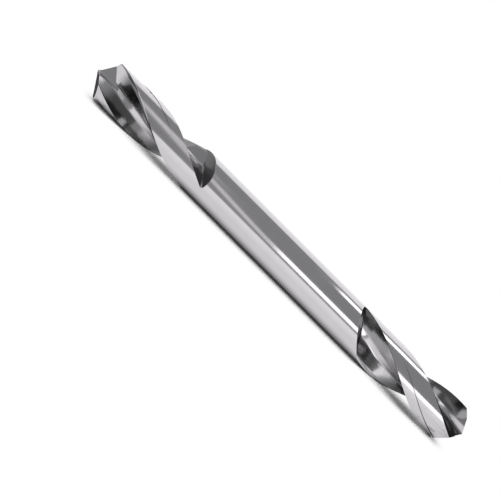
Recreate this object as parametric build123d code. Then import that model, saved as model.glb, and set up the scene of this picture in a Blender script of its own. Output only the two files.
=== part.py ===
from build123d import *
from math import atan2, cos, degrees, radians, sin, tan
import os

# Driving dimensions, in millimetres and degrees.
overall_length = 67.0       # chisel edge to chisel edge
drill_diameter = 6.0
shank_diameter = 5.98       # the fluted ends taper back to this
flute_length = 20.9         # from the chisel edge to the far end of the run-out
flute_lead = 36.0           # length of one turn of the helix
point_angle = 102.0
lip_clearance = 13.0        # slope of each flank behind its lip
lip_offset = 0.78           # half the web, square to the lip
root_start = 0.90           # from the axis along the lip, where the flute's root begins
root_depth = 0.99           # from the axis to the far end of the root
root_start_radius = 0.25
root_end_radius = 0.35
land_angle = 81.0           # width of a land round the axis
heel_roll = 0.60            # the heel's rounded edge
margin_angle = 27.0         # width of the margin round the axis
body_relief = 0.10          # depth of the body clearance at the point
relief_length = 14.0        # the body clearance has faded out this far from the point
runout_lean = 48.0          # lean of the flute's end wall from the axis
runout_turn = 25.0          # the end wall runs furthest this far round from the lip's edge
floor_turn = 72.0           # the run-out's floor faces this far round from the lip's edge
floor_depth = 1.25          # from the axis to the run-out's straight floor, at its end
floor_lean = 7.5            # rise of that floor towards the shank
floor_start = 2.5           # the floor turns straight this far before the run-out's end
floor_radius = 0.4          # between the straight floor and the end wall
gash_web = 0.22             # half the web that the two gashes leave at the centre
gash_turn = 25.0            # angle between the thinned lip and the main lip
gash_facet_turn = 41.0      # which way the gash's back facet faces, round from the lip
gash_facet_lean = 12.0      # lean of that facet from the axis
gash_exit_turn = 24.0       # the same for the steeper facet, where the gash leaves the heel
gash_exit_lean = 27.0
left_gash_length = 2.1      # from the chisel edge to where the exit facet would meet the axis
right_gash_length = 1.2
gash_radius = 0.5           # at the bottom of the gash
left_roll = 24.0            # turn of each cutting end about the axis
right_roll = -75.0

radius = drill_diameter / 2
shank_radius = shank_diameter / 2
turn_per_mm = 360 / flute_lead
lip_slope = 1 / tan(radians(point_angle / 2))
clearance_slope = tan(radians(lip_clearance))
chisel_depth = lip_offset * clearance_slope
lip_reach = (radius ** 2 - lip_offset ** 2) ** 0.5
corner_depth = lip_slope * lip_reach - chisel_depth
edge_angle = -degrees(atan2(lip_offset, lip_reach))
clear = 1.5 * radius        # cutters reach this far past the bar
big = 4 * overall_length


def polar(distance, angle):
    return (distance * cos(radians(angle)), distance * sin(radians(angle)))


def half_space(point, outward):
    """Everything on the side of a plane that its direction points away from."""
    plane = Plane(origin=point, z_dir=outward)
    return plane * Box(big, big, big, align=(Align.CENTER, Align.CENTER, Align.MAX))


def twisted(outline, length):
    """An outline swept along the helix, drawn as it stands at the corners of the lips."""
    before = clear
    face = outline.rotate(Axis.Z, -turn_per_mm * (corner_depth + before)).moved(Location((0, 0, -before)))
    total = length + before
    return Solid.extrude_linear_with_rotation(face, (0, 0, -before), (0, 0, total), turn_per_mm * total)


def rounded_wedge(first, second, bottom_point, corner_radius):
    """Two half spaces' overlap, with the edge between them rounded."""
    wedge = first & second
    edge = wedge.edges().sort_by_distance(bottom_point)[0]
    return fillet(edge, corner_radius)


def flute_outline():
    """The flute square to the axis: lip wall, root, heel wall and rolled heel."""
    heel_angle = edge_angle - (180 - land_angle)
    root_begin = (root_start, -lip_offset)
    root_end = (0.1 * root_start, -root_depth)
    heel_inside = polar(radius - 0.5 * heel_roll, heel_angle + 3)
    heel_outside = polar(radius + clear, heel_angle - 32)
    points = [
        (radius + clear, -lip_offset),
        root_begin,
        root_end,
        heel_inside,
        heel_outside,
        polar(radius + 2 * clear, heel_angle / 2),
    ]
    outline = make_face(Polyline(points, close=True))
    rounded = {root_begin: root_start_radius, root_end: root_end_radius, heel_inside: heel_roll}
    for point, corner_radius in rounded.items():
        corner = outline.vertices().sort_by_distance(point)[0]
        outline = fillet(corner, corner_radius)
    return outline.face()


def flute():
    """One helical flute with its run-out, where the wheel's side and rim leave their print."""
    end_angle = edge_angle + turn_per_mm * (flute_length - corner_depth)
    wall_way = polar(1, end_angle - runout_turn)
    floor_way = polar(1, end_angle - floor_turn)
    wall_point = (radius * wall_way[0], radius * wall_way[1], flute_length)
    near_wall = half_space(wall_point, (-wall_way[0], -wall_way[1], tan(radians(runout_lean))))
    floor_point = (floor_depth * floor_way[0], floor_depth * floor_way[1], flute_length)
    over_floor = half_space(floor_point, (-floor_way[0], -floor_way[1], tan(radians(floor_lean))))
    before_floor = half_space((0, 0, flute_length - floor_start), (0, 0, 1))
    wheel_print = rounded_wedge(near_wall, over_floor, wall_point, floor_radius)
    helix = twisted(flute_outline(), flute_length + clear)
    return (helix & near_wall & before_floor) + (helix & wheel_print)


def body_clearance():
    """The shallow relief behind the margin, which fades out towards the shank."""
    start = edge_angle + margin_angle
    stop = edge_angle + land_angle + 6
    reach = radius + clear
    outline = make_face(Polyline(
        [polar(0.6 * radius, start), polar(reach, start), polar(1.2 * reach, (start + stop) / 2),
         polar(reach, stop), polar(0.6 * radius, stop)], close=True))
    ring = twisted(outline.face(), relief_length)
    core = Cone(radius - body_relief, radius, relief_length, align=(Align.CENTER, Align.CENTER, Align.MIN))
    core += Cylinder(radius - body_relief, clear, align=(Align.CENTER, Align.CENTER, Align.MAX))
    core += Pos(0, 0, relief_length) * Cylinder(radius, clear, align=(Align.CENTER, Align.CENTER, Align.MIN))
    return ring - core


def flank():
    """What is ground off behind one lip, a flat that falls away from the lip and the web."""
    return half_space((0, -lip_offset, -chisel_depth), (-lip_slope, -clearance_slope, 1))


def leaning(distance, turn, lean):
    """The half space outside a facet that meets the axis this far down and faces this way round from the lip."""
    way = polar(1, -turn)
    return half_space((0, 0, distance), (-way[0], -way[1], tan(radians(lean))))


def gash(length):
    """The notch in front of one lip, which thins the web, splits the point and leaves through the other heel."""
    lip_wall = half_space((0, -gash_web, 0), (tan(radians(gash_turn)), 1, 0))
    facet = leaning(0, gash_facet_turn, gash_facet_lean)
    notch = rounded_wedge(lip_wall, facet, (0, -gash_web, 0), gash_radius)
    return notch & leaning(length, gash_exit_turn, gash_exit_lean)


def cutting_end(gash_length):
    """Everything that is ground off one end, with the point at the origin and the shank up."""
    one_side = [flute(), body_clearance(), flank(), gash(gash_length)]
    return one_side + [cut.rotate(Axis.Z, 180) for cut in one_side]


def main():
    left = Plane(origin=(-overall_length / 2, 0, radius), x_dir=(0, 1, 0), z_dir=(1, 0, 0))
    right = Plane(origin=(overall_length / 2, 0, radius), x_dir=(0, 1, 0), z_dir=(-1, 0, 0))
    shank = Plane.YZ * Cylinder(shank_radius, overall_length - 2 * flute_length)
    drill = Pos(0, 0, radius) * shank
    ends = [(left, left_roll, left_gash_length), (right, right_roll, right_gash_length)]
    for place, roll, gash_length in ends:
        drill += place * Cone(radius, shank_radius, flute_length, align=(Align.CENTER, Align.CENTER, Align.MIN))
    for place, roll, gash_length in ends:
        for cut in cutting_end(gash_length):
            drill -= place * Rot(0, 0, roll) * cut
    os.makedirs("parts", exist_ok=True)
    export_step(drill, "parts/drill_bit.step")


main()
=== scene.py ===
"""Looks for a double-ended drill bit: bright ground steel on a plain white floor."""

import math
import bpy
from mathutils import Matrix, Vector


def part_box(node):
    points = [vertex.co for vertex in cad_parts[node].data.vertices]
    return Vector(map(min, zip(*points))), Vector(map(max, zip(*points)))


bl_info = {
    "name": "Double-Ended Drill Bit",
    "version": (1, 0, 0),
    "blender": (4, 5, 0),
    "location": "View3D > Sidebar > Drill Bit",
    "description": "Finishes a double-ended drill bit in bright ground steel and sets its stage",
    "category": "Object",
}

import bpy
from mathutils import Matrix, Vector

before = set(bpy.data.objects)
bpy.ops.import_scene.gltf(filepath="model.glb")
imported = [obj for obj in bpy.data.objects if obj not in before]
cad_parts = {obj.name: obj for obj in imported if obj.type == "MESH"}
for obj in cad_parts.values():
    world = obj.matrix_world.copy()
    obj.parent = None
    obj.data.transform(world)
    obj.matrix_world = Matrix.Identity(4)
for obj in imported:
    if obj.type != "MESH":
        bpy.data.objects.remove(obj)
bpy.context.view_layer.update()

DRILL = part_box("drill_bit")
RADIUS = (DRILL[1][2] - DRILL[0][2]) / 2
LENGTH = DRILL[1][0] - DRILL[0][0]
AXIS_HEIGHT = DRILL[0][2] + RADIUS

# The ground ends as the solid has them, in millimetres and degrees.
FLUTE_LEAD = 36.0           # length of one turn of the flutes
LEFT_ROLL = 24.0            # turn of each end about the axis
RIGHT_ROLL = -75.0
MARGIN_STEP = -9.73         # where a margin's step would be if it ran on to the tip

# The camera, with its aim in pixels of the frame from the middle of the drill.
SENSOR = 36.0
LENS = 50.0
FRAME_PIXELS = 500
AIM_LEFT = 22.6
AIM_BELOW = 18.95

STRIP_DISTANCE = 0.06       # from the drill's axis to the strip lights that it mirrors
WHITE = (1.0, 1.0, 1.0, 1.0)
BLACK = (0.0, 0.0, 0.0, 1.0)


class Link:
    """A node socket whose arithmetic adds Math nodes."""

    def __init__(self, tree, socket):
        self.tree = tree
        self.socket = socket

    def math(self, operation, *others):
        return self.tree.node("ShaderNodeMath", {"operation": operation}, [self, *others])

    def __neg__(self):
        return self.math("MULTIPLY", -1.0)

    def __add__(self, other):
        return self.math("ADD", other)

    __radd__ = __add__

    def __sub__(self, other):
        return self.math("SUBTRACT", other)

    def __rsub__(self, other):
        return self.tree.node("ShaderNodeMath", {"operation": "SUBTRACT"}, [other, self])

    def __mul__(self, other):
        return self.math("MULTIPLY", other)

    __rmul__ = __mul__

    def __truediv__(self, other):
        return self.math("DIVIDE", other)

    def __pow__(self, other):
        return self.math("POWER", other)

    def step(self, low, high):
        """Rises smoothly from 0 at low to 1 at high."""
        return self.tree.node(
            "ShaderNodeMapRange", {"interpolation_type": "SMOOTHSTEP"},
            {"Value": self, "From Min": low, "From Max": high})

    def within(self, low, high, edge):
        """1 between low and high, with soft edges."""
        return self.step(low - edge, low + edge) * (1.0 - self.step(high - edge, high + edge))


class Tree:
    """Adds nodes to a material or world."""

    def __init__(self, owner):
        owner.use_nodes = True
        self.nodes = owner.node_tree.nodes
        self.links = owner.node_tree.links
        self.nodes.clear()

    def node(self, kind, settings=None, values=None, output=0):
        """Adds a node: its settings first, then values or links for its sockets, by name or in order."""
        made = self.nodes.new(kind)
        for name, value in (settings or {}).items():
            setattr(made, name, value)
        pairs = values.items() if isinstance(values, dict) else enumerate(values or [])
        for key, value in pairs:
            self.feed(made.inputs[key], value)
        return Link(self, made.outputs[output]) if made.outputs else None

    def feed(self, socket, value):
        if isinstance(value, Link):
            self.links.new(value.socket, socket)
        else:
            socket.default_value = value

    def parts(self, vector):
        """The three parts of a vector."""
        split = self.node("ShaderNodeSeparateXYZ", values=[vector])
        return [Link(self, socket) for socket in split.socket.node.outputs]

    def vector(self, x, y, z):
        return self.node("ShaderNodeCombineXYZ", values=[x, y, z])

    def blend(self, factor, first, second):
        """A colour between two colours."""
        made = self.nodes.new("ShaderNodeMix")
        made.data_type = "RGBA"
        for name, value in (("Factor_Float", factor), ("A_Color", first), ("B_Color", second)):
            self.feed(next(s for s in made.inputs if s.identifier == name), value)
        return Link(self, next(s for s in made.outputs if s.identifier == "Result_Color"))


def toward(value, target, mask):
    """A value that goes over to another where the mask is 1."""
    return value + (target - value) * mask


class DrillSteelSettings(bpy.types.PropertyGroup):
    """The finish of the ground steel."""

    tint: bpy.props.FloatVectorProperty(
        name="Steel Tint", description="Colour that the bare steel reflects",
        subtype="COLOR", size=3, default=(0.62, 0.605, 0.625), min=0.0, max=1.0)
    polish: bpy.props.FloatProperty(
        name="Shank Roughness", description="Roughness of the cylindrically ground shank",
        default=0.13, min=0.02, max=1.0)
    flute_roughness: bpy.props.FloatProperty(
        name="Flute Roughness", description="Roughness of the ground flutes and points",
        default=0.16, min=0.02, max=1.0)
    grain: bpy.props.FloatProperty(
        name="Grinding Grain", description="Distance between the fine lines that grinding leaves",
        default=0.00012, min=0.00001, max=0.001, unit="LENGTH", precision=5)


class DrillStageSettings(bpy.types.PropertyGroup):
    """The floor, light and camera."""

    elevation: bpy.props.FloatProperty(
        name="Camera Elevation", description="Angle of the view above the floor",
        default=math.radians(15.0), subtype="ANGLE")
    distance: bpy.props.FloatProperty(
        name="Camera Distance", description="From the camera to the drill's axis",
        default=0.0906, min=0.01, unit="LENGTH")
    floor_size: bpy.props.FloatProperty(
        name="Floor Size", description="Side of the square floor",
        default=6.0, min=0.5, unit="LENGTH")


def margin_shade(x, y, up, away):
    """The painted shade in the corner of each margin's step.

    It winds along with the flutes and fades out towards the shank, as the step does.
    """
    end = x.math("SIGN")
    from_tip = (LENGTH / 2 - away) * 1000.0
    roll = end * ((RIGHT_ROLL - LEFT_ROLL) / 2) + (RIGHT_ROLL + LEFT_ROLL) / 2
    around = (-up * end).math("ARCTAN2", y).math("DEGREES")
    past_step = around - roll - MARGIN_STEP - from_tip * (360 / FLUTE_LEAD)
    past_nearest = past_step.math("WRAP", 90.0, -90.0)
    return past_nearest.within(-0.6, 1.2, 0.5) * (1.0 - from_tip.step(9.0, 14.5))


def steel_material(settings):
    """Bright ground steel with fine grinding rings, and painted shade in its flutes and in the margins'
    corners.
    """
    material = bpy.data.materials.new("ground_steel")
    tree = Tree(material)
    place = tree.node("ShaderNodeTexCoord", output="Object")
    x, y, z = tree.parts(place)
    up = z - AXIS_HEIGHT
    away = x.math("ABSOLUTE")
    from_axis = (y * y + up * up) ** 0.5
    normal_x, normal_y, normal_z = tree.parts(tree.node("ShaderNodeNewGeometry", output="Normal"))
    outward = (normal_y * y + normal_z * up) / from_axis
    to_tip = normal_x * x.math("SIGN")

    # Where the surfaces are, and where painted shade darkens them, with places along the drill in metres
    # from its middle.
    ground_round = from_axis.step(RADIUS * 0.955, RADIUS * 0.975)
    right_half = x.step(-0.01, 0.01)
    flute_wall = (1.0 - ground_round) * from_axis.step(RADIUS * 0.33, RADIUS * 0.46)
    painted_shade_near_point = flute_wall * away.step(0.0225, 0.0245) * x.step(-0.0309, -0.0289)
    painted_shade_in_run_out = flute_wall * (1.0 - away.step(0.0183, 0.0196))
    painted_shade_on_end_wall = painted_shade_in_run_out * to_tip.step(0.45, 0.6)
    painted_shade_on_margin_step = ground_round * (1.0 - outward.step(0.25, 0.5))
    painted_shade_in_margin_corner = ground_round * margin_shade(x, y, up, away)

    coarse = 60 * settings.grain
    rings = tree.node("ShaderNodeTexNoise", values={
        "Vector": tree.vector(x / settings.grain, y / coarse, z / coarse),
        "Scale": 1.0, "Detail": 3.0, "Roughness": 0.6})
    cloud = tree.node("ShaderNodeTexNoise", values={"Vector": place, "Scale": 300.0, "Detail": 2.0})
    roughness = toward(settings.flute_roughness, settings.polish, ground_round)
    roughness = roughness + (rings - 0.5) * 0.05 + (cloud - 0.5) * 0.03

    # Painted shade: the base colour darkens near the points, in the run-outs (more on the right half), on
    # their end walls and in the margins' steps and corners.
    bright = 0.95 + (cloud - 0.5) * 0.12
    painted_shades = (
        (painted_shade_near_point, 0.72), (painted_shade_in_run_out, 0.12 + right_half * 0.36), (painted_shade_on_end_wall, 0.72),
        (painted_shade_on_margin_step, 0.85), (painted_shade_in_margin_corner, 0.85))
    for mask, depth in painted_shades:
        bright = bright * (1.0 - mask * depth)
    colour = tree.blend(bright, BLACK, (*settings.tint, 1.0))

    # The round surfaces gleam as true cylinders, without the small waves of the mesh's own shading.
    on_round = ground_round * outward.step(0.90, 0.97)
    round_normal = tree.vector(
        toward(normal_x, 0.0, on_round),
        toward(normal_y, y / from_axis, on_round),
        toward(normal_z, up / from_axis, on_round))
    bump = tree.node("ShaderNodeBump", values={
        "Strength": 0.10, "Distance": 0.00001, "Height": rings, "Normal": round_normal})
    shader = tree.node("ShaderNodeBsdfPrincipled", values={
        "Base Color": colour, "Metallic": 1.0, "Roughness": roughness, "Normal": bump})
    tree.node("ShaderNodeOutputMaterial", values=[shader])
    return material


class OBJECT_OT_drill_bit_steel(bpy.types.Operator):
    """Gives the drill its ground steel"""

    bl_idname = "object.drill_bit_steel"
    bl_label = "Finish the Drill"

    def execute(self, context):
        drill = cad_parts["drill_bit"]
        material = steel_material(context.scene.drill_steel)
        for slot in drill.material_slots:
            slot.material = material
        return {"FINISHED"}


def openness(tree, open_enough):
    """0 where the drill covers the floor closely, rising to 1 in the open."""
    open_part = tree.node("ShaderNodeAmbientOcclusion", {"samples": 16}, {"Distance": 0.03}, output="AO")
    return open_part.step(0.01, open_enough)


def floor_material():
    """White paper, which the camera sees as the white background except close to the drill."""
    material = bpy.data.materials.new("white_floor")
    tree = Tree(material)
    camera = tree.node("ShaderNodeLightPath", output="Is Camera Ray")
    seen = camera.math("MAXIMUM", tree.node("ShaderNodeLightPath", output="Is Transmission Ray"))
    paper = tree.node("ShaderNodeBsdfDiffuse", values={"Color": (0.92, 0.92, 0.92, 1.0)})
    white = tree.node("ShaderNodeEmission", values={"Color": WHITE, "Strength": 1.0})
    shader = tree.node("ShaderNodeMixShader", values=[seen * openness(tree, 0.84), paper, white])
    tree.node("ShaderNodeOutputMaterial", values=[shader])
    return material


def contact_shade_material():
    """Painted shade: a dark sheet for the shade under the drill, as the steel mirrors it."""
    material = bpy.data.materials.new("contact_shade")
    tree = Tree(material)
    dark = tree.node("ShaderNodeBsdfDiffuse", values={"Color": (0.02, 0.02, 0.02, 1.0)})
    clear = tree.node("ShaderNodeBsdfTransparent")
    shader = tree.node("ShaderNodeMixShader", values=[openness(tree, 0.57), dark, clear])
    tree.node("ShaderNodeOutputMaterial", values=[shader])
    return material


def studio_world():
    """The studio that the steel mirrors: white floor and backdrop, grey above, and black cards at the sides.

    side is the part of a direction along the drill, and lift its height over the front horizon, in degrees.
    """
    world = bpy.data.worlds.new("studio")
    tree = Tree(world)
    side, y, z = tree.parts(tree.node("ShaderNodeTexCoord", output="Generated"))
    lift = z.math("ARCTAN2", -y).math("DEGREES")
    backdrop = lift.step(112.0, 124.0)
    far_right = side.step(0.52, 0.56)
    to_left = (-side).math("MAXIMUM", 0.0)
    strip_lift = 15.5 + to_left * 115.0 + to_left * to_left * 300.0
    strip = 1.0 - (lift - strip_lift).math("ABSOLUTE").step(6.0, 11.0)
    floor = 1.15 - (1.0 - lift.step(-45.0, -12.0)) * 0.15
    floor = floor - side.within(-0.63, -0.385, 0.015) * 0.96 - side.within(0.42, 0.55, 0.02) * 0.85
    areas = {
        "backdrop": (1.15, backdrop),
        "patch on the left": (1.0, lift.within(52.0, 64.0, 9.0) * side.within(-0.23, -0.13, 0.05)),
        "front horizon": (0.37, lift.step(-10.0, -2.0) * (1.0 - lift.step(4.0, 14.0))),
        "soft strip": (0.9, strip * side.within(-0.28, 0.03, 0.03)),
        "right card": (0.05, side.within(0.385, 0.57, 0.015) * lift.step(-2.0, 2.0)),
        "right ceiling": (0.06, far_right * lift.step(44.0, 52.0)),
        "right wall": (0.23, far_right * lift.within(-6.0, 46.0, 4.0)),
        "left card": (0.04, side.within(-0.54, -0.285, 0.02) * lift.within(-4.0, 46.0, 3.0)),
        "backdrop's left end": (0.45, (1.0 - side.step(-0.36, -0.30)) * backdrop),
        "floor": (floor, 1.0 - lift.step(-5.0, -1.0)),
        "card on the floor": (0.06, side.within(-0.40, -0.275, 0.01) * lift.within(-28.0, 0.0, 3.0)),
    }
    light = 0.33
    for brightness, mask in areas.values():
        light = toward(light, brightness, mask)
    strength = toward(light, 1.0, tree.node("ShaderNodeLightPath", output="Is Camera Ray"))
    shader = tree.node("ShaderNodeBackground", values={"Color": WHITE, "Strength": strength})
    tree.node("ShaderNodeOutputWorld", values=[shader])
    return world


def photo_camera(stage):
    """The camera of the photograph, square to the drill's axis and rolled so that it runs down the frame."""
    lean = stage.elevation
    along = Vector((1.0, 0.0, 0.0))
    back = Vector((0.0, -math.cos(lean), math.sin(lean)))
    down = Vector((0.0, -math.sin(lean), -math.cos(lean)))
    metres_per_pixel = stage.distance / (LENS / SENSOR * FRAME_PIXELS)
    aim = (down * AIM_BELOW - along * AIM_LEFT) * metres_per_pixel
    place = Vector((0.0, 0.0, AXIS_HEIGHT)) + aim + back * stage.distance
    right = (along - down).normalized()
    up = -(along + down).normalized()
    data = bpy.data.cameras.new("photo_camera")
    data.lens = LENS
    data.sensor_width = SENSOR
    data.clip_start = 0.005
    camera = bpy.data.objects.new("photo_camera", data)
    turn = Matrix((right, up, back)).transposed().to_4x4()
    camera.matrix_world = Matrix.Translation(place) @ turn
    bpy.context.scene.collection.objects.link(camera)
    bpy.context.scene.camera = camera


def staged_mesh(name, corners, faces, material):
    """A mesh that belongs to the stage and not to the drill."""
    mesh = bpy.data.meshes.new(name)
    mesh.from_pydata(corners, [], faces)
    mesh.materials.append(material)
    made = bpy.data.objects.new(name, mesh)
    bpy.context.scene.collection.objects.link(made)
    return made


def sheet(name, half_length, half_width, height, material):
    """A flat sheet under the drill."""
    corners = [(x * half_length, y * half_width, height) for x, y in ((-1, -1), (1, -1), (1, 1), (-1, 1))]
    return staged_mesh(name, corners, [(0, 1, 2, 3)], material)


def only_mirrored(made):
    """Lets something be seen in the steel and nowhere else."""
    made.visible_camera = False
    made.visible_diffuse = False
    made.visible_shadow = False


def soft_lamp(name, place, size, watts):
    """A square lamp that faces the drill and lights the floor."""
    data = bpy.data.lights.new(name, "AREA")
    data.shape = "SQUARE"
    data.size = size
    data.energy = watts
    lamp = bpy.data.objects.new(name, data)
    lamp.location = place
    lamp.rotation_euler = Vector(place).to_track_quat("Z", "Y").to_euler()
    lamp.visible_glossy = False
    bpy.context.scene.collection.objects.link(lamp)


def strip_light(name, course, half_width, strength):
    """A bright strip that only the steel mirrors.

    Its course is places along the drill, in metres, each with a lift over the front horizon, in degrees.
    """
    corners = []
    for x, lift in course:
        for edge in (lift - half_width, lift + half_width):
            angle = math.radians(edge)
            height = AXIS_HEIGHT + STRIP_DISTANCE * math.sin(angle)
            corners.append((x, -STRIP_DISTANCE * math.cos(angle), height))
    faces = [(2 * i, 2 * i + 1, 2 * i + 3, 2 * i + 2) for i in range(len(course) - 1)]
    material = bpy.data.materials.new(name)
    tree = Tree(material)
    glow = tree.node("ShaderNodeEmission", values={"Color": WHITE, "Strength": strength})
    tree.node("ShaderNodeOutputMaterial", values=[glow])
    only_mirrored(staged_mesh(name, corners, faces, material))


class OBJECT_OT_drill_bit_stage(bpy.types.Operator):
    """Adds the floor, the light and the camera"""

    bl_idname = "object.drill_bit_stage"
    bl_label = "Set the Stage"

    def execute(self, context):
        stage = context.scene.drill_stage
        half_floor = stage.floor_size / 2
        floor = sheet("floor", half_floor, half_floor, 0.0, floor_material())
        floor.visible_glossy = False
        # Painted shade: a dark sheet under the drill that only the steel mirrors.
        only_mirrored(sheet("contact_shade", 0.6 * LENGTH, 3 * RADIUS, 0.00001, contact_shade_material()))
        context.scene.world = studio_world()
        front_course = [(0.001, 15.5), (0.028, 15.5), (0.038, 1.5), (0.060, 1.5)]
        top_course = [(0.0165, 95.5), (0.043, 95.5)]
        strip_light("front_strip", front_course, half_width=8.5, strength=2.0)
        strip_light("top_strip", top_course, half_width=8.5, strength=2.2)
        soft_lamp("overhead_lamp", place=(0.0, -0.25, 0.8), size=0.9, watts=9.5)
        photo_camera(stage)
        return {"FINISHED"}


class VIEW3D_PT_drill_bit(bpy.types.Panel):
    """The drill's settings"""

    bl_label = "Drill Bit"
    bl_idname = "VIEW3D_PT_drill_bit"
    bl_space_type = "VIEW_3D"
    bl_region_type = "UI"
    bl_category = "Drill Bit"

    def draw(self, context):
        layout = self.layout
        for group in (context.scene.drill_steel, context.scene.drill_stage):
            box = layout.box()
            for name in group.__annotations__:
                box.prop(group, name)
        layout.operator("object.drill_bit_steel")
        layout.operator("object.drill_bit_stage")


CLASSES = (
    DrillSteelSettings,
    DrillStageSettings,
    OBJECT_OT_drill_bit_steel,
    OBJECT_OT_drill_bit_stage,
    VIEW3D_PT_drill_bit,
)


def register():
    for item in CLASSES:
        bpy.utils.register_class(item)
    bpy.types.Scene.drill_steel = bpy.props.PointerProperty(type=DrillSteelSettings)
    bpy.types.Scene.drill_stage = bpy.props.PointerProperty(type=DrillStageSettings)


def unregister():
    del bpy.types.Scene.drill_stage
    del bpy.types.Scene.drill_steel
    for item in reversed(CLASSES):
        bpy.utils.unregister_class(item)


def main():
    register()
    bpy.ops.object.drill_bit_steel()
    bpy.ops.object.drill_bit_stage()
    bpy.context.scene.view_settings.view_transform = "Standard"


if __name__ == "__main__":
    main()
